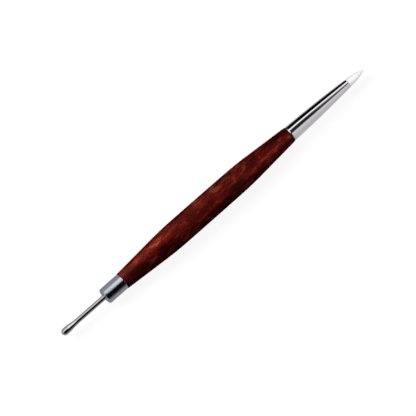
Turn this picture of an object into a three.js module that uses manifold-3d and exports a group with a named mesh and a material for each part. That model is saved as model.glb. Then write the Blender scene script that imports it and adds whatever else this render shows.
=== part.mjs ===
// A double-ended nail art tool. A turned hardwood handle carries a pointed bristle brush in a
// polished ferrule at one end, and a ball-tipped dotting stylus in a short collar at the other.
//
// Millimetres, +Z up. The tool lies level along X with its brush towards +X. The origin is
// under the middle of its length, on the surface that it lies on.

import * as THREE from "three";
import { mergeVertices } from "three/addons/utils/BufferGeometryUtils.js";
import Module from "manifold-3d";

const wasm = await Module();
wasm.setup();

// Every turned piece has the same flat sides, and one of them faces down
const SIDES = 32;
const CURVE_STEPS = 7;
const CORNER_STEPS = 3;
const SOCKET_STEPS = 3;
const MERGE_WITHIN = 1e-5;

// Handle, in four stretches from the collar to the ferrule: a flank that swells, a level grip,
// an ease that narrows a little, and a nose that tapers. Each turn is rounded over its reach.
const REAR_FLANK_LENGTH = 23.8;
const GRIP_LENGTH = 20.4;
const GRIP_EASE_LENGTH = 18.2;
const NOSE_LENGTH = 23.75;
const REAR_TURN_REACH = 5.5;
const NOSE_TURN_REACH = 5;
const GRIP_DIAMETER = 10.44;
const GRIP_EASE = 0.09;
const HANDLE_OVER_COLLAR = 0.13;
const HANDLE_OVER_FERRULE = 0.1;
const REAR_EDGE_BREAK = 0.15;
const NOSE_EDGE_ROUND = 0.45;

// Collar, a cap pressed over the handle's rear tenon, with the stylus through its front wall
const COLLAR_LENGTH = 9.35;
const COLLAR_DIAMETER = 6.78;
const COLLAR_WALL = 0.6;
const COLLAR_FRONT_WALL = 1.6;
const COLLAR_EDGE_ROUND = 0.75;
const COLLAR_HOLE_BEVEL = 0.25;
const COLLAR_REAR_BREAK = 0.1;

// Stylus, one steel rod that swells into a ball
const STYLUS_REACH = 21.45;
const BALL_DIAMETER = 2.95;
const ROD_DIAMETER = 2.1;
const SWELL_LENGTH = 8;
const SHANK_DEPTH = 13;
const SHANK_CHAMFER = 0.3;

// Ferrule, a thin tapered tube drawn over the handle's front tenon
const FERRULE_LENGTH = 30.5;
const FERRULE_BASE_DIAMETER = 6.5;
const FERRULE_BEND_DIAMETER = 5.86;
const FERRULE_BEND_STATION = 15.9;
const FERRULE_MOUTH_DIAMETER = 3.56;
const FERRULE_WALL = 0.2;
const FERRULE_LIP = 0.06;

// Tenons, which stop short of what closes the space ahead of them
const FRONT_TENON_LENGTH = 9;
const TENON_END_GAP = 0.6;
const TENON_CHAMFER = 0.35;

// Glue line in each socket, and the clearance that keeps fitted pieces apart
const GLUE_LINE = 0.2;
const CLEARANCE = 0.03;

// Bristles: rings of filaments that run from a bonded root, out of the mouth, to a point.
// They spread a little past the mouth, and the outer ones end before the middle ones do.
const TUFT_LENGTH = 8.55;
const TUFT_SWELL = 0.2;
const TUFT_SWELL_REACH = 1;
const TUFT_OUTLINE_POWER = 2;
const TUFT_STAGGER = 0.4;
const STAGGER_POWER = 1.5;
const TUFT_STATIONS = [0.12, 0.5, 0.78]; // where a filament may bend, as shares of the length
const STRAND_DIAMETER = 0.09;
const STRAND_SPACING = 1.1; // along a ring, in steps from ring to ring
const STRAND_SIDES = 3;
const STRAND_ROOT_GRIP = 0.1;
const ROOT_SETBACK = 1.4;
const ROOT_LENGTH = 3.2;
const ROOT_DRAW_IN = 0.15;
const RING_ZONES = [
  { name: "bristle_core", first: 0, last: 4 },
  { name: "bristle_inner", first: 5, last: 6 },
  { name: "bristle_belly", first: 7, last: 8 },
  { name: "bristle_outer", first: 9, last: 10 },
];

// Thread that binds the root, and the resin plug that locks the root in the ferrule
const THREAD_DIAMETER = 0.12;
const THREAD_BAND = 1.2;
const THREAD_SETBACK = 0.8;
const PLUG_LENGTH = 4.6;
const PLUG_DISH_DEPTH = 0.5;
const PLUG_RIM = 0.3;

// Sizes that follow from those above
const gripRadius = GRIP_DIAMETER / 2;
const collarRadius = COLLAR_DIAMETER / 2;
const rodRadius = ROD_DIAMETER / 2;
const ballRadius = BALL_DIAMETER / 2;
const collarBore = collarRadius - COLLAR_WALL;
const rearTenonRadius = collarBore - GLUE_LINE;
const rearTenonLength = COLLAR_LENGTH - COLLAR_FRONT_WALL - TENON_END_GAP;
const stylusBore = rodRadius + GLUE_LINE;
const stylusHole = rodRadius + CLEARANCE;
const shankEnd = COLLAR_LENGTH - COLLAR_FRONT_WALL - SHANK_DEPTH;
const ferruleBaseRadius = FERRULE_BASE_DIAMETER / 2;
const tuftRadius = FERRULE_MOUTH_DIAMETER / 2 - FERRULE_WALL - CLEARANCE;
const rootRadius = tuftRadius - ROOT_DRAW_IN;
const rootScale = (rootRadius * Math.cos(Math.PI / SIDES) - CLEARANCE) / tuftRadius;
const ringCount = RING_ZONES[RING_ZONES.length - 1].last;
const ringPitch = (tuftRadius - STRAND_DIAMETER / 2) / ringCount;
const handleLength = REAR_FLANK_LENGTH + GRIP_LENGTH + GRIP_EASE_LENGTH + NOSE_LENGTH;
const totalLength =
  STYLUS_REACH + COLLAR_LENGTH + handleLength + FERRULE_LENGTH + TUFT_LENGTH;

// Materials
const rosewood = new THREE.MeshStandardMaterial({ color: 0x5e1c14, roughness: 0.38, metalness: 0 });
const polishedChrome = new THREE.MeshStandardMaterial({ color: 0xd9dadf, roughness: 0.1, metalness: 1 });
const satinAluminium = new THREE.MeshStandardMaterial({ color: 0xb4bac6, roughness: 0.22, metalness: 1 });
const steel = new THREE.MeshStandardMaterial({ color: 0xc4bfc0, roughness: 0.14, metalness: 1 });
const nylon = new THREE.MeshStandardMaterial({ color: 0xf2f2f0, roughness: 0.5, metalness: 0 });
const resin = new THREE.MeshStandardMaterial({ color: 0xd8c27a, roughness: 0.3, metalness: 0 });
const cotton = new THREE.MeshStandardMaterial({ color: 0xe9e4d6, roughness: 0.9, metalness: 0 });

// A turned piece: an outline of (radius, station) revolved round the tool's axis
function turned(outline) {
  const flatSideDown = Math.PI / SIDES;
  return new THREE.LatheGeometry(outline, SIDES, flatSideDown);
}

function piece(name, geometry, material) {
  const mesh = new THREE.Mesh(geometry, material);
  mesh.name = name;
  return mesh;
}

// Merges a geometry's shared corners and makes a solid of it, for joining
function solidOf(geometry) {
  const bare = new THREE.BufferGeometry();
  bare.setAttribute("position", geometry.getAttribute("position"));
  bare.setIndex(geometry.getIndex());
  const merged = mergeVertices(bare, MERGE_WITHIN);
  return new wasm.Manifold(
    new wasm.Mesh({
      numProp: 3,
      vertProperties: new Float32Array(merged.getAttribute("position").array),
      triVerts: new Uint32Array(merged.getIndex().array),
    }),
  );
}

function geometryOf(solid) {
  const { vertProperties, triVerts } = solid.getMesh();
  const geometry = new THREE.BufferGeometry();
  geometry.setAttribute("position", new THREE.BufferAttribute(vertProperties, 3));
  geometry.setIndex(new THREE.BufferAttribute(triVerts, 1));
  return geometry;
}

// The ferrule's outer wall is one easy curve. This is its radius at a station from the base.
function ferruleRadiusAt(station) {
  const bend = FERRULE_BEND_STATION;
  const t = station / (bend + Math.sqrt(bend ** 2 + (FERRULE_LENGTH - 2 * bend) * station));
  const base = (1 - t) ** 2 * ferruleBaseRadius;
  const middle = t * (1 - t) * FERRULE_BEND_DIAMETER;
  const mouth = (t ** 2 * FERRULE_MOUTH_DIAMETER) / 2;
  return base + middle + mouth;
}

// Outline points inside the ferrule, a given distance in from its outer wall
function alongFerrule(from, to, inset, steps) {
  const points = [];
  for (let i = 0; i <= steps; i += 1) {
    const station = from + ((to - from) * i) / steps;
    points.push(new THREE.Vector2(ferruleRadiusAt(station) - inset, station));
  }
  return points;
}

// Handle: two tenons, a blind bore for the stylus, and the turned grip between the shoulders
function handle() {
  const start = collarRadius + HANDLE_OVER_COLLAR;
  const end = ferruleBaseRadius + HANDLE_OVER_FERRULE;
  const gripEnd = REAR_FLANK_LENGTH + GRIP_LENGTH;
  const noseStart = gripEnd + GRIP_EASE_LENGTH;
  const noseRadius = gripRadius - GRIP_EASE;
  const flankSlope = (gripRadius - start) / REAR_FLANK_LENGTH;
  const easeSlope = GRIP_EASE / GRIP_EASE_LENGTH;
  const noseSlope = (noseRadius - end) / NOSE_LENGTH;
  const boreEnd = -shankEnd + TENON_END_GAP;
  const tenonInset = FERRULE_WALL + GLUE_LINE;

  const outline = new THREE.Path();
  outline.moveTo(0, boreEnd);
  outline.lineTo(stylusBore, boreEnd);
  outline.lineTo(stylusBore, -rearTenonLength);
  outline.lineTo(rearTenonRadius - TENON_CHAMFER, -rearTenonLength);
  outline.lineTo(rearTenonRadius, -rearTenonLength + TENON_CHAMFER);
  outline.lineTo(rearTenonRadius, 0);
  outline.lineTo(start - REAR_EDGE_BREAK, 0);
  outline.lineTo(start, REAR_EDGE_BREAK);
  outline.lineTo(gripRadius - flankSlope * REAR_TURN_REACH, REAR_FLANK_LENGTH - REAR_TURN_REACH);
  outline.quadraticCurveTo(
    gripRadius,
    REAR_FLANK_LENGTH,
    gripRadius,
    REAR_FLANK_LENGTH + REAR_TURN_REACH,
  );
  outline.lineTo(gripRadius, gripEnd);
  outline.lineTo(noseRadius + easeSlope * NOSE_TURN_REACH, noseStart - NOSE_TURN_REACH);
  outline.quadraticCurveTo(
    noseRadius,
    noseStart,
    noseRadius - noseSlope * NOSE_TURN_REACH,
    noseStart + NOSE_TURN_REACH,
  );
  outline.lineTo(end, handleLength - NOSE_EDGE_ROUND);
  const body = outline.getPoints(CURVE_STEPS);

  const nose = new THREE.Path();
  nose.absarc(
    end - NOSE_EDGE_ROUND,
    handleLength - NOSE_EDGE_ROUND,
    NOSE_EDGE_ROUND,
    0,
    Math.PI / 2,
  );
  const tenon = alongFerrule(0, FRONT_TENON_LENGTH - TENON_CHAMFER, tenonInset, SOCKET_STEPS);
  const tip = ferruleRadiusAt(FRONT_TENON_LENGTH) - tenonInset - TENON_CHAMFER;
  tenon.push(new THREE.Vector2(tip, FRONT_TENON_LENGTH), new THREE.Vector2(0, FRONT_TENON_LENGTH));
  for (const point of tenon) point.y += handleLength;

  return turned([...body, ...nose.getPoints(CORNER_STEPS).slice(1), ...tenon]);
}

// Collar: its rim meets the handle's rear shoulder, and its front edge is rounded over
function collar() {
  const floor = COLLAR_LENGTH - COLLAR_FRONT_WALL;
  const outline = new THREE.Path();
  outline.moveTo(collarBore, CLEARANCE);
  outline.lineTo(collarRadius - COLLAR_REAR_BREAK, CLEARANCE);
  outline.lineTo(collarRadius, CLEARANCE + COLLAR_REAR_BREAK);
  outline.lineTo(collarRadius, COLLAR_LENGTH - COLLAR_EDGE_ROUND);
  outline.absarc(
    collarRadius - COLLAR_EDGE_ROUND,
    COLLAR_LENGTH - COLLAR_EDGE_ROUND,
    COLLAR_EDGE_ROUND,
    0,
    Math.PI / 2,
  );
  outline.lineTo(stylusHole + COLLAR_HOLE_BEVEL, COLLAR_LENGTH);
  outline.lineTo(stylusHole, COLLAR_LENGTH - COLLAR_HOLE_BEVEL);
  outline.lineTo(stylusHole, floor);
  outline.lineTo(collarBore, floor);
  outline.closePath();
  return turned(outline.getPoints(CORNER_STEPS + 1));
}

function sleeve(inner, outer, from, to) {
  const outline = new THREE.Path();
  outline.moveTo(inner, from);
  outline.lineTo(outer, from);
  outline.lineTo(outer, to);
  outline.lineTo(inner, to);
  outline.closePath();
  return turned(outline.getPoints());
}

// Glue fills the line between two straight round walls
function glueSleeve(innerRadius, outerRadius, from, to) {
  return sleeve(innerRadius + CLEARANCE, outerRadius - CLEARANCE, from, to);
}

// Stylus: the shank ends deep in the handle, and the rod swells smoothly into the ball
function stylus() {
  const front = COLLAR_LENGTH + STYLUS_REACH;
  const ballCentre = front - ballRadius;
  const swellStart = front - SWELL_LENGTH;
  const swellMiddle = (swellStart + ballCentre) / 2;
  const outline = new THREE.Path();
  outline.moveTo(0, shankEnd);
  outline.lineTo(rodRadius - SHANK_CHAMFER, shankEnd);
  outline.lineTo(rodRadius, shankEnd + SHANK_CHAMFER);
  outline.lineTo(rodRadius, swellStart);
  outline.bezierCurveTo(rodRadius, swellMiddle, ballRadius, swellMiddle, ballRadius, ballCentre);
  const rod = outline.getPoints(CURVE_STEPS);
  const cap = new THREE.Path();
  cap.absarc(0, ballCentre, ballRadius, 0, Math.PI / 2);
  const round = cap.getPoints(CURVE_STEPS).slice(1, -1);
  return turned([...rod, ...round, new THREE.Vector2(0, front)]);
}

// Ferrule: an open tapered tube with a softened lip at the mouth and at the base
function ferrule() {
  const outer = alongFerrule(CLEARANCE + FERRULE_LIP, FERRULE_LENGTH - FERRULE_LIP, 0, CURVE_STEPS);
  const inner = alongFerrule(CLEARANCE, FERRULE_LENGTH, FERRULE_WALL, CURVE_STEPS).reverse();
  const mouth = new THREE.Vector2(ferruleRadiusAt(FERRULE_LENGTH) - FERRULE_LIP, FERRULE_LENGTH);
  const base = new THREE.Vector2(ferruleBaseRadius - FERRULE_LIP, CLEARANCE);
  return turned([base, ...outer, mouth, ...inner, base.clone()]);
}

// The glue between the front tenon and the ferrule follows the ferrule's taper
function ferruleGlue() {
  const from = TENON_END_GAP;
  const to = FRONT_TENON_LENGTH - TENON_CHAMFER;
  const toTenon = FERRULE_WALL + GLUE_LINE - CLEARANCE;
  const outer = alongFerrule(from, to, FERRULE_WALL + CLEARANCE, SOCKET_STEPS);
  const inner = alongFerrule(from, to, toTenon, SOCKET_STEPS).reverse();
  return turned([...outer, ...inner, outer[0].clone()]);
}

// The resin plug sits behind the bristles' root, dished where it set in the tube
function resinPlug() {
  const front = FERRULE_LENGTH - ROOT_SETBACK - ROOT_LENGTH - CLEARANCE;
  const back = front - PLUG_LENGTH;
  const wall = alongFerrule(back, front, FERRULE_WALL + CLEARANCE, SOCKET_STEPS);
  const rim = new THREE.Vector2(wall[0].x - PLUG_RIM, back);
  const dish = new THREE.Vector2(0, back + PLUG_DISH_DEPTH);
  return turned([dish, rim, ...wall, new THREE.Vector2(0, front)]);
}

// The binding thread lies round the root in close turns, as one band
function bindingThread() {
  const to = FERRULE_LENGTH - ROOT_SETBACK - THREAD_SETBACK;
  const outer = rootRadius + CLEARANCE + THREAD_DIAMETER;
  return sleeve(rootRadius + CLEARANCE, outer, to - THREAD_BAND, to);
}

// How far apart the filaments lie at each station, as a share of how they lie in the mouth.
// The tuft's outline narrows to a point while its outer filaments end first, so the ones
// that go on are drawn in by less.
function spreadAt(share) {
  const swell = 1 + (TUFT_SWELL / tuftRadius) * Math.min(1, (share * TUFT_LENGTH) / TUFT_SWELL_REACH);
  const outline = 1 - share ** TUFT_OUTLINE_POWER;
  const reaching = Math.min(1, ((1 - share) / TUFT_STAGGER) ** (1 / STAGGER_POWER));
  return (swell * outline) / reaching;
}

const stations = [
  { height: -ROOT_SETBACK, spread: rootScale },
  ...TUFT_STATIONS.map((share) => ({ height: share * TUFT_LENGTH, spread: spreadAt(share) })),
  { height: TUFT_LENGTH, spread: 0 },
];

// Between two stations every filament is straight, which keeps it clear of the next one
function spread(height) {
  const next = Math.max(1, stations.findIndex((station) => height <= station.height));
  const low = stations[next - 1];
  const high = stations[next];
  return THREE.MathUtils.mapLinear(height, low.height, high.height, low.spread, high.spread);
}

// One filament: a slim three-sided prism that starts inside the bonded root and ends in a point
function addStrand(positions, faces, ring, angle) {
  const tip = TUFT_LENGTH * (1 - TUFT_STAGGER * (ring / ringCount) ** STAGGER_POWER);
  const bends = TUFT_STATIONS.map((share) => share * TUFT_LENGTH);
  const heights = [
    -ROOT_SETBACK - STRAND_ROOT_GRIP,
    ...bends.filter((height) => height < tip - STRAND_DIAMETER),
  ];
  const first = positions.length / 3;
  for (const height of heights) {
    const scale = spread(height);
    const reach = ring * ringPitch * scale;
    const half = (STRAND_DIAMETER / 2) * scale;
    for (let side = 0; side < STRAND_SIDES; side += 1) {
      const turn = angle + (side * 2 * Math.PI) / STRAND_SIDES;
      positions.push(
        reach * Math.sin(angle) + half * Math.sin(turn),
        height,
        reach * Math.cos(angle) + half * Math.cos(turn),
      );
    }
  }
  const end = ring * ringPitch * spread(tip);
  positions.push(end * Math.sin(angle), tip, end * Math.cos(angle));
  const apex = first + heights.length * STRAND_SIDES;
  for (let level = 0; level < heights.length; level += 1) {
    for (let side = 0; side < STRAND_SIDES; side += 1) {
      const a = first + level * STRAND_SIDES + side;
      const b = first + level * STRAND_SIDES + ((side + 1) % STRAND_SIDES);
      if (level === heights.length - 1) faces.push(a, b, apex);
      else faces.push(a, b, b + STRAND_SIDES, a, b + STRAND_SIDES, a + STRAND_SIDES);
    }
  }
  for (let side = 2; side < STRAND_SIDES; side += 1) faces.push(first, first + side, first + side - 1);
}

// One zone of the tuft: its rings of filaments, joined to the ring of bonded root behind them.
// Filaments in every other ring are turned by half a space.
function bristleZone({ first, last }) {
  const positions = [];
  const faces = [];
  for (let ring = first; ring <= last; ring += 1) {
    const count = Math.max(1, Math.round((2 * Math.PI * ring) / STRAND_SPACING));
    const start = 0.5 * (ring % 2);
    for (let i = 0; i < count; i += 1) {
      addStrand(positions, faces, ring, ((start + i) * 2 * Math.PI) / count);
    }
  }
  const strands = new THREE.BufferGeometry();
  strands.setAttribute("position", new THREE.Float32BufferAttribute(positions, 3));
  strands.setIndex(faces);

  const rootPitch = ringPitch * rootScale;
  const outer = last === ringCount ? rootRadius : (last + 0.5) * rootPitch - CLEARANCE / 2;
  const inner = first === 0 ? 0 : (first - 0.5) * rootPitch + CLEARANCE / 2;
  const back = -ROOT_SETBACK - ROOT_LENGTH;
  const outline = [
    new THREE.Vector2(inner, back),
    new THREE.Vector2(outer, back),
    new THREE.Vector2(outer, -ROOT_SETBACK),
    new THREE.Vector2(inner, -ROOT_SETBACK),
  ];
  if (inner > 0) outline.push(outline[0].clone());
  return geometryOf(solidOf(strands).add(solidOf(turned(outline))));
}

// Rear end, built outwards from the handle's rear shoulder
const rearEnd = new THREE.Group();
rearEnd.rotation.z = Math.PI;
rearEnd.add(
  piece("collar", collar(), satinAluminium),
  piece("collar_glue", glueSleeve(rearTenonRadius, collarBore, TENON_END_GAP, rearTenonLength), resin),
  piece("dotting_stylus", stylus(), steel),
  piece("stylus_glue", glueSleeve(rodRadius, stylusBore, shankEnd + SHANK_CHAMFER, rearTenonLength), resin),
);

// Front end, built outwards from the handle's front shoulder
const tuft = new THREE.Group();
tuft.position.y = FERRULE_LENGTH;
for (const zone of RING_ZONES) tuft.add(piece(zone.name, bristleZone(zone), nylon));

const frontEnd = new THREE.Group();
frontEnd.position.y = handleLength;
frontEnd.add(
  piece("ferrule", ferrule(), polishedChrome),
  piece("ferrule_glue", ferruleGlue(), resin),
  piece("resin_plug", resinPlug(), resin),
  piece("binding_thread", bindingThread(), cotton),
  tuft,
);

// The whole tool is laid on its side, on the flat under the grip
const tool = new THREE.Group();
tool.rotation.z = -Math.PI / 2;
tool.position.x = STYLUS_REACH + COLLAR_LENGTH - totalLength / 2;
tool.position.z = gripRadius * Math.cos(Math.PI / SIDES);
tool.add(piece("handle", handle(), rosewood), rearEnd, frontEnd);

const nailArtTool = new THREE.Group();
nailArtTool.add(tool);

export default nailArtTool;
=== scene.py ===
# A double-ended nail art tool: a turned rosewood handle with a pointed brush in a polished
# ferrule at one end, and a ball-tipped dotting stylus in a short collar at the other.
import math

import bpy
import numpy as np
from mathutils import Matrix, Vector


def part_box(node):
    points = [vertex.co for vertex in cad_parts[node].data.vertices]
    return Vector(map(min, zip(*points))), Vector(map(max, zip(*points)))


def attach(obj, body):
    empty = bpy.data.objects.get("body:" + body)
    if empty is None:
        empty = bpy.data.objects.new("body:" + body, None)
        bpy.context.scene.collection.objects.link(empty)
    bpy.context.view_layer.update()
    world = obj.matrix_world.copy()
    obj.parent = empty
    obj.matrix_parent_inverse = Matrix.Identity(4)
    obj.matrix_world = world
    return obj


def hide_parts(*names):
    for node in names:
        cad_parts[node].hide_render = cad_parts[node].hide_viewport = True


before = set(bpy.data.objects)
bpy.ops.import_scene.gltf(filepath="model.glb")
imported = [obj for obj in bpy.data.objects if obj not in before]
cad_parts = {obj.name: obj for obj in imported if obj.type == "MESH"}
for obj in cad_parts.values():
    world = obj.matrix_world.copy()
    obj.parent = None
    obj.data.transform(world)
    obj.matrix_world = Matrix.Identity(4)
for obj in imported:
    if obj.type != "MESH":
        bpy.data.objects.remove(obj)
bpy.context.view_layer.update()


# Handle
# One length of rosewood, turned to a grip that is fattest a little behind its middle, and
# lacquered. A tenon at each end takes the collar and the ferrule, and a blind bore in the
# rear one takes the stylus. All the pieces below share its axis, which lies level along X.

MM = 0.001  # the pieces' stations along X, radii and lengths are in mm
REAR_SHOULDER = -47.2
GRIP_START = -23.4
GRIP_END = -3.0
NOSE_START = 15.2
NOSE_SHOULDER = 38.95
REAR_RADIUS = 3.52
GRIP_RADIUS = 5.22
NOSE_RADIUS = 5.13
FRONT_RADIUS = 3.35
REAR_TENON_END = -54.35
REAR_TENON_RADIUS = 2.59
FRONT_TENON_END = 47.95
FRONT_TENON_BASE_RADIUS = 2.85
FRONT_TENON_TIP_RADIUS = 2.61
TENON_CHAMFER = 0.35
BORE_END = -41.35
BORE_RADIUS = 1.25
# How far roundings reach, at edges and where the grip turns
CRISP = 0.05
BROKEN = 0.1
REAR_EDGE = 0.15
FRONT_EDGE = 0.45
GRIP_START_TURN = 5.5
GRIP_END_TURN = 6.0
NOSE_START_TURN = 5.0

SIDES = 160
ROUNDING_STEPS = 14
CLOSE_STEP = 0.02  # from a rounding to the next point, so that straight stretches shade flat
LONGEST_STEP = 1.0
SAME_DECIMALS = 5  # points that agree this far are one
SOLID_SIDES = 32
INSIDE_FLATS = 0.9999 * math.cos(math.pi / SOLID_SIDES)  # a hair inside the solids' flats
handle_low, handle_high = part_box("handle")
axis_height = handle_low[2] / 2 + handle_high[2] / 2


def evenly(outline):
    """The same outline with a point at least every LONGEST_STEP along it, and none twice."""
    steps = np.linalg.norm(np.diff(outline, axis=0), axis=1)
    run = np.concatenate([[0.0], np.cumsum(steps)])
    stops = np.concatenate([run, np.arange(0, run[-1], LONGEST_STEP)])
    stops = np.unique(stops.round(SAME_DECIMALS))
    return np.column_stack([np.interp(stops, run, outline[:, k]) for k in (0, 1)])


def rounded(corners, closed=False):
    """An outline through corners of (station, radius, reach). It leaves the straight line a
    reach before each corner and joins the next line a reach after it, on the curve
    (1-t)^2 before + 2t(1-t) corner + t^2 after, with t from 0 to 1."""
    corners = np.array(corners, float)
    points, reach = corners[:, :2], corners[:, 2:]
    back, ahead = np.roll(points, 1, axis=0) - points, np.roll(points, -1, axis=0) - points
    back /= np.linalg.norm(back, axis=1, keepdims=True)
    ahead /= np.linalg.norm(ahead, axis=1, keepdims=True)
    before, after = points + back * reach, points + ahead * reach
    t = np.linspace(0, 1, ROUNDING_STEPS)[:, None, None]
    curve = (1 - t) ** 2 * before + 2 * t * (1 - t) * points + t**2 * after
    lead, trail = before + back * CLOSE_STEP, after + ahead * CLOSE_STEP
    outline = np.concatenate([lead[None], curve, trail[None]]).transpose(1, 0, 2).reshape(-1, 2)
    if closed:
        return evenly(np.vstack([outline, outline[:1]]))
    return evenly(outline[ROUNDING_STEPS:-ROUNDING_STEPS])


def turned(name, outline, replaced, closed=False):
    """A piece of revolution: at angle a, the outline's (station, radius) stands at
    (station, radius sin a, axis height + radius cos a). The radius is drawn in to the flats
    of the many-sided solid. The outline runs towards +X outside and towards -X inside, and
    starts and ends on the axis, or is closed and ends where it starts."""
    outline = np.array(outline[:-1] if closed else outline)
    outline[:, 1] *= INSIDE_FLATS
    poles = [] if closed else [outline[0], outline[-1]]
    rows = outline if closed else outline[1:-1]
    angle = np.linspace(0, 2 * math.pi, SIDES, endpoint=False)
    station = np.repeat(rows[:, :1], SIDES, axis=1)
    y, z = rows[:, 1:] * np.sin(angle), rows[:, 1:] * np.cos(angle)
    points = np.stack([station, y, z], axis=-1).reshape(-1, 3)
    points = np.vstack([points] + [[pole[0], 0, 0] for pole in poles]) * MM
    points[:, 2] += axis_height

    row = np.arange(len(rows) if closed else len(rows) - 1)[:, None] * SIDES
    around = np.arange(SIDES)
    beside = (around + 1) % SIDES
    next_row = (row + SIDES) % (len(rows) * SIDES)
    quads = np.stack([row + around, next_row + around, next_row + beside, row + beside], axis=-1)
    faces = quads.reshape(-1, 4).tolist()
    if poles:
        last = (len(rows) - 1) * SIDES
        first_pole, last_pole = len(points) - 2, len(points) - 1
        neighbours = list(zip(around.tolist(), beside.tolist()))
        faces += [[first_pole, a, b] for a, b in neighbours]
        faces += [[last_pole, last + b, last + a] for a, b in neighbours]
    return surface(name, points, faces, replaced)


def surface(name, points, faces, replaced):
    """Puts points and faces into a smooth mesh that rides on the tool's one body and stands
    for the solids that it replaces."""
    mesh = bpy.data.meshes.new(name)
    mesh.from_pydata(points.tolist(), [], faces)
    mesh.polygons.foreach_set("use_smooth", np.ones(len(mesh.polygons), bool))
    mesh.update()
    piece = bpy.data.objects.new(name, mesh)
    bpy.context.scene.collection.objects.link(piece)
    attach(piece, "root")
    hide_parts(*replaced)
    return piece


class Value:
    """A socket in a sum. Each operator adds the Math node that works it out."""

    def __init__(self, finish, socket):
        self.finish, self.socket = finish, socket

    def maths(self, operation, *terms):
        """What a Math node makes of these terms."""
        return self.finish.add("ShaderNodeMath", {"operation": operation}, dict(enumerate(terms)))

    def __add__(self, other):
        return self.maths("ADD", self, other)

    def __sub__(self, other):
        return self.maths("SUBTRACT", self, other)

    def __rsub__(self, other):
        return self.maths("SUBTRACT", other, self)

    def __mul__(self, other):
        return self.maths("MULTIPLY", self, other)

    __radd__, __rmul__ = __add__, __mul__

    def between(self, low, high):
        """0 below low, 1 above high, and a smooth rise between the two. Low may be the larger."""
        settings = {"interpolation_type": "SMOOTHSTEP"}
        sockets = {"Value": self, "From Min": low, "From Max": high}
        return self.finish.add("ShaderNodeMapRange", settings, sockets)


class Finish:
    """A material, or a world, as a tree of nodes."""

    def __init__(self, name, owner=None):
        self.owner = owner or bpy.data.materials.new(name)
        self.owner.use_nodes = True
        self.tree = self.owner.node_tree
        self.tree.nodes.clear()

    def add(self, kind, settings=None, sockets=None, output=0):
        """Adds a node, sets its settings, then its sockets' values or links."""
        made = self.tree.nodes.new(kind)
        for name, value in (settings or {}).items():
            if name == "stops":
                ramp = made.color_ramp
                while len(ramp.elements) < len(value):
                    ramp.elements.new(0.5)
                for element, (position, colour) in zip(ramp.elements, value):
                    element.position, element.color = position, (*colour, 1)
            else:
                setattr(made, name, value)
        for name, value in (sockets or {}).items():
            if isinstance(value, Value):
                self.tree.links.new(value.socket, made.inputs[name])
            else:
                made.inputs[name].default_value = value
        return Value(self, made.outputs[output]) if made.outputs else None

    def place(self, steps, shift=(0, 0, 0)):
        """The object's own coordinates, in so many steps to the metre along each axis, and
        then shifted by some steps."""
        own = self.add("ShaderNodeTexCoord", output="Object")
        sockets = {"Vector": own, "Scale": steps, "Location": shift}
        return self.add("ShaderNodeMapping", None, sockets)

    def axes(self):
        """The object's own X, Y and Z, in metres."""
        own = self.add("ShaderNodeTexCoord", output="Object")
        return [self.add("ShaderNodeSeparateXYZ", None, {0: own}, k) for k in range(3)]

    def noise(self, place, detail=2.0, roughness=0.5, distortion=0.0):
        """Clouds about one step of the place across, from 0 to 1."""
        settings = {"noise_dimensions": "3D"}
        sockets = {"Vector": place, "Scale": 1.0, "Detail": detail, "Roughness": roughness}
        return self.add("ShaderNodeTexNoise", settings, {**sockets, "Distortion": distortion})

    def layers(self, position, detail=2.0, roughness=0.5):
        """Uneven bands along one value, which is counted in bands."""
        settings = {"noise_dimensions": "1D"}
        sockets = {"W": position, "Scale": 1.0, "Detail": detail, "Roughness": roughness}
        return self.add("ShaderNodeTexNoise", settings, sockets)

    def cells(self, place):
        """How many steps away the nearest of the points scattered over the place lies."""
        settings, sockets = {"feature": "F1"}, {"Vector": place, "Scale": 1.0}
        return self.add("ShaderNodeTexVoronoi", settings, sockets)

    def colours(self, value, stops):
        """The colour at a value on a ramp of (position, colour) stops."""
        return self.add("ShaderNodeValToRGB", {"stops": stops}, {0: value})

    def mix(self, share, first, second, blend="MIX"):
        """Colours first and second mixed by a share. Mix's colour sockets are 6 and 7."""
        settings = {"data_type": "RGBA", "blend_type": blend}
        fill = [c if isinstance(c, Value) else (*c, 1) for c in (first, second)]
        return self.add("ShaderNodeMix", settings, {0: share, 6: fill[0], 7: fill[1]}, 2)

    def bump(self, height, relief):
        """Relief that stands so many mm high where the height is 1."""
        sockets = {"Height": height, "Distance": relief * MM, "Strength": 1.0}
        return self.add("ShaderNodeBump", None, sockets)

    def put_on(self, *pieces, **sockets):
        """Ends the tree in one Principled shader and gives the material to the pieces."""
        sockets = {name.replace("_", " "): value for name, value in sockets.items()}
        shader = self.add("ShaderNodeBsdfPrincipled", None, sockets)
        self.add("ShaderNodeOutputMaterial", None, {"Surface": shader})
        for piece in pieces:
            piece.data.materials.clear()
            piece.data.materials.append(self.owner)


handle_outline = rounded([
    (BORE_END, 0, 0),
    (BORE_END, BORE_RADIUS, BROKEN),
    (REAR_TENON_END, BORE_RADIUS, BROKEN),
    (REAR_TENON_END, REAR_TENON_RADIUS - TENON_CHAMFER, BROKEN),
    (REAR_TENON_END + TENON_CHAMFER, REAR_TENON_RADIUS, BROKEN),
    (REAR_SHOULDER, REAR_TENON_RADIUS, CRISP),
    (REAR_SHOULDER, REAR_RADIUS, REAR_EDGE),
    (GRIP_START, GRIP_RADIUS, GRIP_START_TURN),
    (GRIP_END, GRIP_RADIUS, GRIP_END_TURN),
    (NOSE_START, NOSE_RADIUS, NOSE_START_TURN),
    (NOSE_SHOULDER, FRONT_RADIUS, FRONT_EDGE),
    (NOSE_SHOULDER, FRONT_TENON_BASE_RADIUS, CRISP),
    (FRONT_TENON_END - TENON_CHAMFER, FRONT_TENON_TIP_RADIUS, BROKEN),
    (FRONT_TENON_END, FRONT_TENON_TIP_RADIUS - TENON_CHAMFER, BROKEN),
    (FRONT_TENON_END, 0, 0),
])
handle = turned("rosewood_handle", handle_outline, ["handle"])

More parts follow.
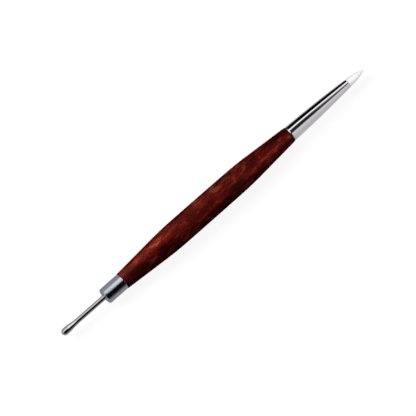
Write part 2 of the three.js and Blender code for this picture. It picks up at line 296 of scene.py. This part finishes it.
# Rosewood: growth layers that lie almost level through the blank and wander along it, with
# orange figure and dark maroon streaks, fine fibres, and pores as short dark dashes
LAYERS_X, LAYERS_Y, LAYERS_Z = 21, 230, 420  # growth layers crossed in a metre
WANDER = 4.2  # how many layers they stray
SPREAD = (0.3, 0.7)  # where nearly all the values of a noise lie
WARM_SPREAD = (0.35, 0.65)
PORE_EDGE, PORE_CORE = 0.34, 0.16
PORE_SHARE = 0.5
WARM_TINT = (1.1, 1.5, 1.3)
PORE_COLOUR = (0.006, 0.0004, 0.0004)
# The colour of the painted shade at the two shoulders, and how much of it each shoulder takes
SHOULDER_SHADE_COLOUR = (0.012, 0.001, 0.001)
REAR_SHADE_SHARE, FRONT_SHADE_SHARE = 0.35, 0.6
REAR_SHADE_END = REAR_SHOULDER + 1.2
FRONT_SHADE_START = NOSE_SHOULDER - 1.1
FRONT_SHADE_FULL = NOSE_SHOULDER - 0.1
GRAIN_RELIEF = 0.005

wood = Finish("lacquered_rosewood")
x, y, z = wood.axes()
wander = wood.noise(wood.place((28, 130, 130), shift=(31, -9, -32)))
growth = y * LAYERS_Y + z * LAYERS_Z + x * LAYERS_X + wander * WANDER
layer = wood.layers(growth, detail=3.0, roughness=0.55).between(*SPREAD)
figure_place = wood.place((270, 440, 440), shift=(10, -30, 34))
figure = wood.noise(figure_place, detail=3.0, roughness=0.6, distortion=0.5).between(*SPREAD)
patch = wood.noise(wood.place((110, 190, 190), shift=(-18, 1, 4)), detail=1.0).between(*SPREAD)
warmth = wood.noise(wood.place((130, 330, 330), shift=(-21, 4, 16))).between(*WARM_SPREAD)
streak = wood.noise(wood.place((190, 1100, 1100), shift=(31, 5, -3))).between(*SPREAD)
fibre = wood.noise(wood.place((190, 5200, 5200)), roughness=0.6)
pore = wood.cells(wood.place((430, 4300, 4300))).between(PORE_EDGE, PORE_CORE)
# What each of them adds to the tone, less what centres it on the ramp
tone = layer * 0.26 + figure * 0.46 + patch * 0.26 + streak * 0.22 + fibre * 0.14 - 0.155
grain = wood.colours(tone, [
    (0.10, (0.030, 0.0000, 0.0003)),
    (0.32, (0.066, 0.0002, 0.0007)),
    (0.50, (0.122, 0.0008, 0.0018)),
    (0.68, (0.200, 0.0085, 0.0075)),
    (0.90, (0.330, 0.0560, 0.0360)),
])
warm_grain = wood.mix(warmth, grain, WARM_TINT, "MULTIPLY")
porous_grain = wood.mix(pore * PORE_SHARE, warm_grain, PORE_COLOUR)
# Painted shade: the colour darkens over the last millimetre before each shoulder, where the
# handle meets the collar and the ferrule
rear_shade = x.between(REAR_SHADE_END * MM, REAR_SHOULDER * MM)
front_shade = x.between(FRONT_SHADE_START * MM, FRONT_SHADE_FULL * MM)
painted_shoulder_shade = rear_shade * REAR_SHADE_SHARE + front_shade * FRONT_SHADE_SHARE
# The lacquer is glossiest over the orange figure, and the metallic share lets the wood's colour
# tint its sheen
wood.put_on(
    handle,
    Base_Color=wood.mix(painted_shoulder_shade, porous_grain, SHOULDER_SHADE_COLOUR),
    Metallic=0.3,
    Roughness=0.27 + (1 - figure) * 0.14 + (1 - patch) * 0.10 + fibre * 0.04 + pore * 0.08,
    Specular_IOR_Level=0.6,
    Specular_Tint=(1.0, 0.34, 0.22, 1),
    Normal=wood.bump(fibre * 0.3 - pore, GRAIN_RELIEF),
)


# Collar
# A short turned cap of satin aluminium with a rounded front edge, glued over the handle's rear
# tenon until its rim meets the shoulder. The stylus comes out through the hole in its front.

COLLAR_RIM = -47.23
COLLAR_FRONT = -56.55
COLLAR_FLOOR = -54.95
COLLAR_RADIUS = 3.39
COLLAR_BORE = 2.79
COLLAR_HOLE = 1.08
HOLE_CHAMFER = 0.25
COLLAR_FRONT_EDGE = 1.1
COLLAR_FLOOR_EDGE = 0.2
SATIN_DARK, SATIN_LIGHT = (0.56, 0.585, 0.68), (0.63, 0.655, 0.76)
SCUFFED = (0.5, 0.8)
LATHE_RINGS = 16000  # to the metre
LATHE_RELIEF = 0.0005

collar_outline = rounded([
    (COLLAR_FRONT, COLLAR_HOLE + HOLE_CHAMFER, CRISP),
    (COLLAR_FRONT, COLLAR_RADIUS, COLLAR_FRONT_EDGE),
    (COLLAR_RIM, COLLAR_RADIUS, BROKEN),
    (COLLAR_RIM, COLLAR_BORE, CRISP),
    (COLLAR_FLOOR, COLLAR_BORE, COLLAR_FLOOR_EDGE),
    (COLLAR_FLOOR, COLLAR_HOLE, CRISP),
    (COLLAR_FRONT + HOLE_CHAMFER, COLLAR_HOLE, CRISP),
], closed=True)
collar = turned("stylus_collar", collar_outline, ["collar"], closed=True)

# Fine rings from the lathe tool, and a faint cloudiness in the finish
satin = Finish("satin_aluminium")
x = satin.axes()[0]
lathe_ring = satin.layers(x * LATHE_RINGS, roughness=0.7)
cloud = satin.noise(satin.place((260, 260, 260)), detail=3.0)
scuff = satin.noise(satin.place((2200, 700, 700)), detail=3.0, roughness=0.7).between(*SCUFFED)
satin.put_on(
    collar,
    Base_Color=satin.mix(cloud, SATIN_DARK, SATIN_LIGHT),
    Metallic=1.0,
    Roughness=0.13 + cloud * 0.05 + scuff * 0.05,
    Normal=satin.bump(lathe_ring, LATHE_RELIEF),
)


# Dotting stylus
# One rod of polished steel, swelling into the ball that lifts and sets drops of varnish.
# Its shank is bonded deep in the handle's bore.

BALL_END = -78.0
BALL_RADIUS = 1.475
ROD_RADIUS = 1.05
SWELL_START = -70.0
ROD_START = SWELL_START + 0.2
SHANK_END = -41.95
SHANK_CHAMFER = 0.3
BALL_STEPS = 24
SWELL_STEPS = 40
STEEL_DARK, STEEL_LIGHT = (0.70, 0.68, 0.685), (0.78, 0.76, 0.765)
POLISH_LINES = 24000  # to the metre
POLISH_RELIEF = 0.0004

# The ball is a quarter of a circle. From its widest point to the rod, the radius falls as
# 3t^2 - 2t^3, and the station is (1-t)^3 ball centre + 3t(1-t) middle + t^3 swell start.
ball_centre = BALL_END + BALL_RADIUS
quarter = np.linspace(math.pi, math.pi / 2, BALL_STEPS)
ball_station = ball_centre + BALL_RADIUS * np.cos(quarter)
ball = np.column_stack([ball_station, BALL_RADIUS * np.sin(quarter)])
t = np.linspace(0, 1, SWELL_STEPS)[1:]
middle = (ball_centre + SWELL_START) / 2
blend = t**2 * (3 - 2 * t)
swell_station = (1 - t) ** 3 * ball_centre + 3 * t * (1 - t) * middle + t**3 * SWELL_START
swell = np.column_stack([swell_station, BALL_RADIUS + (ROD_RADIUS - BALL_RADIUS) * blend])
rod = rounded([
    (ROD_START, 0, 0),
    (ROD_START, ROD_RADIUS, 0),
    (SHANK_END - SHANK_CHAMFER, ROD_RADIUS, BROKEN),
    (SHANK_END, ROD_RADIUS - SHANK_CHAMFER, CRISP),
    (SHANK_END, 0, 0),
])
rod = rod[(rod[:, 0] > ROD_START) & (rod[:, 1] > ROD_RADIUS - 2 * SHANK_CHAMFER)]
stylus_outline = evenly(np.vstack([ball, swell, rod, [[SHANK_END, 0]]]))
stylus_outline[0, 1] = 0
stylus = turned("dotting_stylus_rod", stylus_outline, ["dotting_stylus"])

# Polish lines run round the rod, and handling leaves faint smears
polished = Finish("polished_steel")
x = polished.axes()[0]
polish_line = polished.layers(x * POLISH_LINES, roughness=0.7)
smear = polished.noise(polished.place((500, 900, 900)), detail=3.0, roughness=0.6)
polished.put_on(
    stylus,
    Base_Color=polished.mix(smear, STEEL_DARK, STEEL_LIGHT),
    Metallic=1.0,
    Roughness=0.07 + smear * 0.07,
    Normal=polished.bump(polish_line, POLISH_RELIEF),
)


# Ferrule
# A seamless tube of plated brass, drawn to a taper and polished. It is glued over the
# handle's front tenon and grips the root of the bristles in its mouth.

FERRULE_BASE = 38.98
FERRULE_BEND = 54.85
FERRULE_MOUTH = 69.45
FERRULE_BASE_RADIUS = 3.25
FERRULE_BEND_RADIUS = 2.93
FERRULE_MOUTH_RADIUS = 1.78
FERRULE_WALL = 0.2
WALL_STEPS = 60
LIP_SHARE = 0.002  # of the tube's curve, left to the lip at each end
LIP_STEPS = 12
LIP_FLATTENING = 0.8
PLATE_DARK, PLATE_LIGHT = (0.79, 0.765, 0.80), (0.86, 0.84, 0.865)
DRAW_RELIEF = 0.00015

# The outside is the curve (1-t)^2 base + 2t(1-t) bend + t^2 mouth, the inside lies a wall
# within it, and a flattened half circle joins them at each end
base, bend, mouth = np.array([
    (FERRULE_BASE, FERRULE_BASE_RADIUS),
    (FERRULE_BEND, FERRULE_BEND_RADIUS),
    (FERRULE_MOUTH, FERRULE_MOUTH_RADIUS),
])
half_wall = np.array([0, FERRULE_WALL / 2])
t = np.linspace(LIP_SHARE, 1 - LIP_SHARE, WALL_STEPS)[:, None]
wall = (1 - t) ** 2 * base + 2 * t * (1 - t) * bend + t**2 * mouth
lip_turn = np.linspace(0, math.pi, LIP_STEPS)[1:-1]
lip = np.column_stack([np.sin(lip_turn) * LIP_FLATTENING, np.cos(lip_turn)]) * FERRULE_WALL / 2
ferrule_outline = np.vstack([
    wall,
    wall[-1] - half_wall + lip,
    (wall - 2 * half_wall)[::-1],
    wall[0] - half_wall - lip,
    wall[:1],
])
ferrule = turned("brush_ferrule", ferrule_outline, ["ferrule"], closed=True)

# Faint lines from the drawing die run along the tube under the plating
plated = Finish("polished_plating")
draw_line = plated.noise(plated.place((30, 6500, 6500)), roughness=0.6)
haze = plated.noise(plated.place((180, 420, 420)), detail=3.0, roughness=0.6)
plated.put_on(
    ferrule,
    Base_Color=plated.mix(haze, PLATE_DARK, PLATE_LIGHT),
    Metallic=1.0,
    Roughness=0.06 + haze * 0.06,
    Normal=plated.bump(draw_line, DRAW_RELIEF),
)


# Bristle tuft
# Tapered white nylon filaments, bound and set in resin inside the ferrule and shaped to a
# point: the outer ones end first, and the middle ones run on to the tip.

TUFT_LENGTH = 8.55
TUFT_ROOT = -1.4  # from the ferrule's mouth
TUFT_RADIUS = 1.55
TUFT_SWELL = 0.2
TUFT_STAGGER = 0.4  # how much shorter the outermost filaments are, as a share of the length
STAGGER_POWER = 1.5
OUTLINE_POWER = 2.0
HEART_STATIONS = 48
HEART_FILL = 0.98
HEART_END = 0.96
STRANDS = 1100
STRAND_RADIUS = 0.05
STRAND_STATIONS = 11
STRAND_SIDES = 4
STRAND_POINTS = STRAND_STATIONS * STRAND_SIDES
STATION_POWER = 0.9  # sets the stations a little closer towards the tip
LENGTH_SPREAD = 0.02
LEAN_SPREAD = 0.022
SHORTEST = 0.3
SWAY = 1.2
TAPER_SHARE = 0.55  # of a strand's length, over which it thins to its tip
TAPER_POWER = 0.8
TIP_SHARE = 0.08
GOLDEN_ANGLE = math.pi * (3 - math.sqrt(5))
SEED = 7
root = TUFT_ROOT / TUFT_LENGTH  # as a share of the length


def tuft_outline(share):
    """The tuft's radius at a share of its length: it swells over its first millimetre, and
    tapers as 1 - share^2 to the tip."""
    swell = TUFT_SWELL * np.clip(share * TUFT_LENGTH, 0, 1)
    return (TUFT_RADIUS + swell) * (1 - np.clip(share, 0, 1) ** OUTLINE_POWER)


def reaching(share):
    """How far out of the bundle, from 0 to 1, filaments still reach a share of its length: the
    share that is left, over TUFT_STAGGER, to the power 1 / STAGGER_POWER."""
    return np.minimum(1, (np.clip(1 - share, 1e-6, 1) / TUFT_STAGGER) ** (1 / STAGGER_POWER))


# The heart of the bundle, in place of the imported core, where the filaments lie too close to
# show one by one
share = np.concatenate([[root], np.linspace(0, HEART_END, HEART_STATIONS)])
heart_station = FERRULE_MOUTH + share * TUFT_LENGTH
heart_outline = np.column_stack([heart_station, HEART_FILL * tuft_outline(share)])
heart_poles = heart_outline[[0, -1]] * (1, 0)
heart_outline = np.vstack([heart_poles[:1], heart_outline, heart_poles[1:]])
heart = turned("bristle_heart", heart_outline, ["bristle_core"])

# The strands stand like the seeds of a sunflower: each a golden angle round from the last, and
# at a rank out of the bundle that grows as the square root of its number. A strand keeps its
# rank in the tuft's outline all along, sways with the square of its length, and thins to its tip.
draw = np.random.default_rng(SEED)
number = np.arange(STRANDS)
rank = np.sqrt((number + 0.5) / STRANDS)
bearing = number * GOLDEN_ANGLE
length_change = draw.normal(0, LENGTH_SPREAD, STRANDS)
lean = draw.normal(0, LEAN_SPREAD, (STRANDS, 2))
end = np.clip(1 - TUFT_STAGGER * rank**STAGGER_POWER + length_change, SHORTEST, 1.0)
run = np.linspace(0, 1, STRAND_STATIONS) ** STATION_POWER
share = root + (end[:, None] - root) * run
inset = 1 - STRAND_RADIUS / TUFT_RADIUS
reach = rank[:, None] * inset * tuft_outline(share) / reaching(share)
sway = lean[:, :, None] * np.clip(share, 0, 1)[:, None, :] ** 2 * SWAY
centre_y = reach * np.sin(bearing)[:, None] + sway[:, 0]
centre_z = reach * np.cos(bearing)[:, None] + sway[:, 1]
taper = np.minimum(1, (1 - run) / TAPER_SHARE + TIP_SHARE) ** TAPER_POWER
thickness = (STRAND_RADIUS * taper)[None, :, None]
turn = bearing[:, None, None] + np.arange(STRAND_SIDES) * 2 * math.pi / STRAND_SIDES
strand_station = FERRULE_MOUTH + share * TUFT_LENGTH
strand_x = np.repeat(strand_station[:, :, None], STRAND_SIDES, axis=2)
strand_y = centre_y[:, :, None] + thickness * np.sin(turn)
strand_z = centre_z[:, :, None] + thickness * np.cos(turn)
points = np.stack([strand_x, strand_y, strand_z], axis=-1).reshape(-1, 3) * MM
points[:, 2] += axis_height

first = number[:, None] * STRAND_POINTS
around = np.arange(STRAND_SIDES)
beside = (around + 1) % STRAND_SIDES
low = first[:, :, None] + np.arange(STRAND_STATIONS - 1)[None, :, None] * STRAND_SIDES
high = low + STRAND_SIDES
walls = np.stack([low + around, high + around, high + beside, low + beside], axis=-1)
root_caps = first + around
tip_caps = first + STRAND_POINTS - STRAND_SIDES + around[::-1]
faces = np.vstack([walls.reshape(-1, 4), root_caps, tip_caps]).tolist()
bristle_nodes = ["bristle_inner", "bristle_belly", "bristle_outer"]
tuft = surface("bristle_tuft", points, faces, bristle_nodes)
shade = np.repeat(draw.uniform(0, 1, STRANDS), STRAND_POINTS)
tuft.data.attributes.new("strand", "FLOAT", "POINT").data.foreach_set("value", shade)

# Filaments differ a little in whiteness. Painted shade greys them where they go into the
# ferrule's mouth.
MOUTH_SHADE_OUT = FERRULE_MOUTH + 1.1
MOUTH_SHADE_IN = FERRULE_MOUTH - 0.2
NYLON_DULL, NYLON_WHITE = (0.86, 0.86, 0.865), (0.95, 0.95, 0.955)
NYLON_MOUTH_SHADE = (0.66, 0.66, 0.66)
MOUTH_SHADE_SHARE = 0.5
nylon = Finish("white_nylon")
x = nylon.axes()[0]
each = nylon.add("ShaderNodeAttribute", {"attribute_name": "strand"}, None, "Fac")
# Painted shade: grey over the tuft's first millimetre out of the mouth, and just inside it
mouth_shade = x.between(MOUTH_SHADE_OUT * MM, MOUTH_SHADE_IN * MM)
# The heart has no strand value, so it takes the dull white: a slight painted shade in the gaps
# between the strands
nylon_colour = nylon.mix(each, NYLON_DULL, NYLON_WHITE)
nylon.put_on(
    heart, tuft,
    Base_Color=nylon.mix(mouth_shade * MOUTH_SHADE_SHARE, nylon_colour, NYLON_MOUTH_SHADE),
    Roughness=0.5 + each * 0.1,
    Specular_IOR_Level=0.3,
)


# Glue, resin and thread inside
# The adhesive in the three sockets, the resin plug that locks the bristles' root, and the
# cotton thread wound round that root before the resin set. Their solids are shown as they are.

GLUE_DARK, GLUE_LIGHT = (0.66, 0.52, 0.27), (0.78, 0.67, 0.42)
BUBBLE_EDGE, BUBBLE_CORE = 0.25, 0.1
BUBBLE_RELIEF = 0.01
RESIN_DARK, RESIN_LIGHT = (0.52, 0.33, 0.10), (0.72, 0.54, 0.25)
RESIN_RELIEF = 0.02
COTTON_DARK, COTTON_LIGHT = (0.52, 0.49, 0.42), (0.84, 0.81, 0.73)
COTTON_RELIEF = 0.03
COIL_PITCH = 0.12

adhesive = Finish("cured_adhesive")
bubble = adhesive.cells(adhesive.place((2600, 2600, 2600))).between(BUBBLE_EDGE, BUBBLE_CORE)
bead = adhesive.noise(adhesive.place((500, 900, 900)), detail=3.0)
glue_pieces = [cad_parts[name] for name in ("collar_glue", "stylus_glue", "ferrule_glue")]
adhesive.put_on(
    *glue_pieces,
    Base_Color=adhesive.mix(bead, GLUE_DARK, GLUE_LIGHT),
    Roughness=0.24 + bead * 0.12,
    Normal=adhesive.bump(bubble, BUBBLE_RELIEF),
)

resin = Finish("amber_resin")
depth = resin.noise(resin.place((800, 800, 800)), detail=3.0)
resin.put_on(
    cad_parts["resin_plug"],
    Base_Color=resin.mix(depth, RESIN_DARK, RESIN_LIGHT),
    Roughness=0.16 + depth * 0.1,
    Normal=resin.bump(depth, RESIN_RELIEF),
)

cotton = Finish("binding_cotton")
x = cotton.axes()[0]
winding = x * (2 * math.pi / (COIL_PITCH * MM))
coil = cotton.add("ShaderNodeMath", {"operation": "SINE"}, {0: winding}) * 0.5
fuzz = cotton.noise(cotton.place((9000, 9000, 9000)), detail=3.0)
# The colour darkens into the grooves between the turns, where the bump is lowest: painted shade
cotton.put_on(
    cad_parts["binding_thread"],
    Base_Color=cotton.mix(coil + 0.5, COTTON_DARK, COTTON_LIGHT),
    Roughness=0.8 + fuzz * 0.15,
    Normal=cotton.bump(coil + fuzz * 0.4, COTTON_RELIEF),
)


# Floor, cards, lamps and camera
# A pale floor under soft studio light. The tent and the boards are cards that only reflections
# see: they draw the light and dark stripes along the metal. Each card and lamp shines on its
# own pieces alone. Lengths here are in metres.

FLOOR_REACH = 3.0
FLOOR_GREY = (0.22, 0.22, 0.22, 1)  # what the lamp lights and the shadow darkens
FLOOR_GLOW = 0.906  # what shows on top of it near the tool, growing to 1 far off
GLOW_NEAR, GLOW_FAR = 0.25, 1.2
WHITE = (1, 1, 1, 1)


def sheet(name, points, columns):
    """A grid of points, so many columns wide, as a stage object."""
    rows = len(points) // columns
    corner = (np.arange(rows - 1)[:, None] * columns + np.arange(columns - 1)).ravel()
    faces = np.stack([corner, corner + 1, corner + columns + 1, corner + columns], axis=-1)
    mesh = bpy.data.meshes.new(name)
    mesh.from_pydata(points.tolist(), [], faces.tolist())
    made = bpy.data.objects.new(name, mesh)
    bpy.context.scene.collection.objects.link(made)
    return made


def shine_on(light, pieces):
    """Lets a lamp or a card shine on these pieces alone."""
    group = bpy.data.collections.new(light.name + "_pieces")
    for piece in pieces:
        group.objects.link(piece)
    light.light_linking.receiver_collection = group


def background_rays(finish):
    """1 for a ray that shows the background: from the camera, a reflection or glass."""
    camera_ray, glossy_ray, glass_ray = (
        finish.add("ShaderNodeLightPath", output=f"Is {kind} Ray")
        for kind in ("Camera", "Glossy", "Transmission")
    )
    return camera_ray + glossy_ray + glass_ray


floor_ends = (-FLOOR_REACH, FLOOR_REACH)
floor = sheet("floor", np.array([(a, b, 0) for a in floor_ends for b in floor_ends]), 2)
paper = Finish("white_paper")
seen = background_rays(paper)
matt = paper.add("ShaderNodeBsdfDiffuse", None, {"Color": FLOOR_GREY})
own = paper.add("ShaderNodeTexCoord", output="Object")
from_middle = paper.add("ShaderNodeVectorMath", {"operation": "LENGTH"}, {0: own}, 1)
brightness = from_middle.between(GLOW_NEAR, GLOW_FAR) * (1 - FLOOR_GLOW) + FLOOR_GLOW
glow = paper.add("ShaderNodeEmission", None, {"Color": WHITE, "Strength": seen * brightness})
both = paper.add("ShaderNodeAddShader", None, {0: matt, 1: glow})
paper.add("ShaderNodeOutputMaterial", None, {"Surface": both})
floor.data.materials.append(paper.owner)

CARD_REACH = 2.0
TENT_RADIUS = 0.3
TENT_EDGE = 91.2
TENT_ROWS, TENT_COLUMNS = 20, 90
bright_pieces = [collar, stylus, ferrule, heart, tuft]


def card(name, points, columns, finish, colour):
    """A sheet that glows in a colour, which only reflections in the bright pieces show."""
    made = sheet(name, points, columns)
    made.visible_camera = made.visible_diffuse = made.visible_shadow = False
    made.visible_transmission = made.visible_volume_scatter = False
    shine_on(made, bright_pieces)
    glow = finish.add("ShaderNodeEmission", None, {"Color": colour, "Strength": 1.0})
    finish.add("ShaderNodeOutputMaterial", None, {"Surface": glow})
    made.data.materials.append(finish.owner)


def stripes(stops):
    """Ramp stops from (degrees, level) pairs, where 0 is straight up and + is towards -Y."""
    return [(degrees / 180 + 0.5, (level,) * 3) for degrees, level in stops]


# The tent arches over the tool: at angle a, it stands at y = -radius sin a and
# z = axis height + radius cos a. The camera looks along the tool at a lean, so each piece shows
# a stretch of the tent that lies further towards +X than the piece does.
ROD_TO_COLLAR = (-0.009, -0.004)
COLLAR_TO_FERRULE = (0.06, 0.11)
BASE_TO_MOUTH = (0.13, 0.20)
BASE_LEAN = 8  # degrees that the stripes stand further over at the ferrule's base
LEAN_COMES, LEAN_GOES = (0.06, 0.09), (0.17, 0.11)

panel = Finish("tent_panels")
x, y, z = panel.axes()
turned_by = panel.add("ShaderNodeMath", {"operation": "ARCTAN2"}, {0: y * -1, 1: z - axis_height})
base_lean = x.between(*LEAN_GOES) * (BASE_LEAN / 180)
turn_share = turned_by * (1 / math.pi) + 0.5 + base_lean * x.between(*LEAN_COMES)
collar_end = panel.colours(turn_share, stripes([
    (-90, 0.33), (-66, 0.36), (-55, 1.15), (-14, 1.22), (-1, 0.02),
    (5, 0.0), (49, 0.0), (63, 0.08), (90, 0.24),
]))
rod_end = panel.colours(turn_share, stripes([
    (-90, 0.42), (-66, 0.36), (-51, 0.85), (-28, 0.82), (-11, 0.02),
    (3, 0.0), (56, 0.0), (66, 0.12), (90, 0.4),
]))
base_end = panel.colours(turn_share, stripes([
    (-90, 0.0), (-55, 0.0), (-49, 1.25), (-37, 1.2), (-30, 0.02),
    (6, 0.0), (15, 0.2), (25, 0.76), (50, 0.62), (90, 0.5),
]))
mouth_end = panel.colours(turn_share, stripes([
    (-90, 0.0), (-54, 0.0), (-44, 1.2), (-18, 1.15), (-12, 0.08),
    (-1, 0.03), (13, 0.23), (25, 0.76), (50, 0.62), (90, 0.5),
]))
ferrule_side = panel.mix(x.between(*BASE_TO_MOUTH), base_end, mouth_end)
stylus_side = panel.mix(x.between(*ROD_TO_COLLAR), rod_end, collar_end)
panel_colour = panel.mix(x.between(*COLLAR_TO_FERRULE), stylus_side, ferrule_side)

angle = np.radians(np.linspace(-TENT_EDGE, TENT_EDGE, TENT_COLUMNS))
along = np.linspace(-CARD_REACH, CARD_REACH, TENT_ROWS)
grid_x, grid_angle = np.meshgrid(along, angle, indexing="ij")
tent_points = np.stack([
    grid_x,
    -TENT_RADIUS * np.sin(grid_angle),
    axis_height + TENT_RADIUS * np.cos(grid_angle),
], axis=-1).reshape(-1, 3)
card("tent", tent_points, TENT_COLUMNS, panel, panel_colour)

# A board lies along each side of the tool, just above the floor. It is grey beside the metal
# and black beside the wood, and the left one turns black a little way out from the ferrule.
BOARD_REACH = 0.31
BOARD_HEIGHT = 0.0002
CAMERA_SLOPE = 0.176  # the tangent of the camera's lean
WOOD_STARTS, WOOD_ENDS = (-0.044, -0.040), (0.0382, 0.0392)
BLACK = (0.0, 0.0, 0.0)
COLLAR_GREY = (0.33, 0.33, 0.33)
FERRULE_GREY = (0.53, 0.53, 0.53)
GREY_WIDTH = 0.0115  # on the left
GREY_FADE = 0.002
NEVER = 1.0  # further out than the boards reach

board_ends = (-CARD_REACH, CARD_REACH)
for name, side, black_from in (("board_left", 1, GREY_WIDTH), ("board_right", -1, NEVER)):
    board = Finish(name)
    x, y = board.axes()[:2]
    sideways = y * side
    far_out = sideways.between(black_from, black_from + GREY_FADE)
    beside_ferrule = board.mix(far_out, FERRULE_GREY, BLACK)
    mirrored = x - sideways * CAMERA_SLOPE  # the station on the tool that shows this place
    beside_wood = board.mix(mirrored.between(*WOOD_ENDS), BLACK, beside_ferrule)
    board_colour = board.mix(mirrored.between(*WOOD_STARTS), COLLAR_GREY, beside_wood)
    board_points = [(a, side * b, BOARD_HEIGHT) for a in board_ends for b in (0, BOARD_REACH)]
    card(name, np.array(board_points), 2, board, board_colour)

LAMP_AIM = 0.7  # a lamp aims at this share of its own station
SHEEN_DISTANCE = 0.15


def softbox(name, station, degrees, distance, size, watts, pieces):
    """A square lamp that shines on these pieces alone, aimed at the tool's axis. It stands at
    a station along X, so many degrees from straight up towards +Y round the axis."""
    lamp = bpy.data.lights.new(name, "AREA")
    lamp.size, lamp.energy = size, watts
    holder = bpy.data.objects.new(name, lamp)
    swing = math.radians(degrees)
    height = axis_height + distance * math.cos(swing)
    holder.location = (station, distance * math.sin(swing), height)
    toward = Vector((station * LAMP_AIM, 0, axis_height)) - holder.location
    holder.rotation_mode = "QUATERNION"
    holder.rotation_quaternion = toward.to_track_quat("-Z", "Y")
    holder.visible_glossy = holder.visible_camera = False
    bpy.context.scene.collection.objects.link(holder)
    shine_on(holder, pieces)
    return holder


# One lamp for the floor, three small ones close to the handle, for its left side, its rear end
# and its nose, and one for the tuft
for name, station, degrees, distance, size, watts, pieces in (
    ("floor_lamp", -0.9, 40, 1.7, 0.7, 22, [floor]),
    ("handle_lamp", 0.0, 74, 0.09, 0.05, 0.010, [handle]),
    ("rear_lamp", -0.058, 74, 0.045, 0.03, 0.030, [handle]),
    ("nose_lamp", 0.045, 28, 0.09, 0.05, 0.016, [handle]),
    ("tuft_lamp", 0.08, 16, 0.16, 0.7, 1.75, [heart, tuft]),
):
    softbox(name, station, degrees, distance, size, watts, pieces)

# Five lamps show only as the lacquer's sheen, which crosses the handle from its rear left to
# its front right
for number, (station, degrees, size, watts, tint) in enumerate((
    (-0.046, 78, 0.09, 0.044, (1, 1.0, 0.7)),
    (-0.050, 46, 0.07, 0.058, (1, 0.95, 0.7)),
    (0.0, 16, 0.06, 0.018, (1, 0.3, 0.3)),
    (0.08, -8, 0.06, 0.022, (1, 0.8, 0.8)),
    (0.055, -35, 0.06, 0.018, (1, 0.55, 0.6)),
)):
    sheen = softbox(f"sheen_{number}", station, degrees, SHEEN_DISTANCE, size, watts, [handle])
    sheen.visible_glossy, sheen.visible_diffuse = True, False
    sheen.data.color = tint

WORLD_FILL = 0.15  # the strength at which the world lights the tool; its background shows as 1
world = bpy.data.worlds.new("studio")
bpy.context.scene.world = world
sky = Finish("studio", world)
strength = background_rays(sky).between(0, 1) * (1 - WORLD_FILL) + WORLD_FILL
background = sky.add("ShaderNodeBackground", None, {"Color": WHITE, "Strength": strength})
sky.add("ShaderNodeOutputWorld", None, {"Surface": background})

# The camera looks down at the tool, leaning towards its ball end, and turned so that the tool
# rises to the right
LEAN = math.radians(10)
ROLL = math.radians(41.3)
DISTANCE = 1.768
LENS, SENSOR = 400, 36
NEAREST, FURTHEST = 0.01, 20
AIM_RIGHT, AIM_UP = -0.0024, -0.00284  # how far off the tool's middle the camera aims
back = np.array([-math.sin(LEAN), 0, math.cos(LEAN)])
along_tool = np.array([math.cos(LEAN), 0, math.sin(LEAN)])
across_tool = np.array([0, 1, 0])
right = along_tool * math.cos(ROLL) - across_tool * math.sin(ROLL)
up = along_tool * math.sin(ROLL) + across_tool * math.cos(ROLL)
target = np.array([0, 0, axis_height]) + AIM_RIGHT * right + AIM_UP * up
camera = bpy.data.objects.new("camera", bpy.data.cameras.new("camera"))
camera.data.lens = LENS
camera.data.sensor_width = SENSOR
camera.data.clip_start, camera.data.clip_end = NEAREST, FURTHEST
stand = np.eye(4)
stand[:3, 0], stand[:3, 1], stand[:3, 2] = right, up, back
stand[:3, 3] = target + back * DISTANCE
camera.matrix_world = Matrix(stand.tolist())
bpy.context.scene.collection.objects.link(camera)
bpy.context.scene.camera = camera
bpy.context.scene.view_settings.view_transform = "Standard"
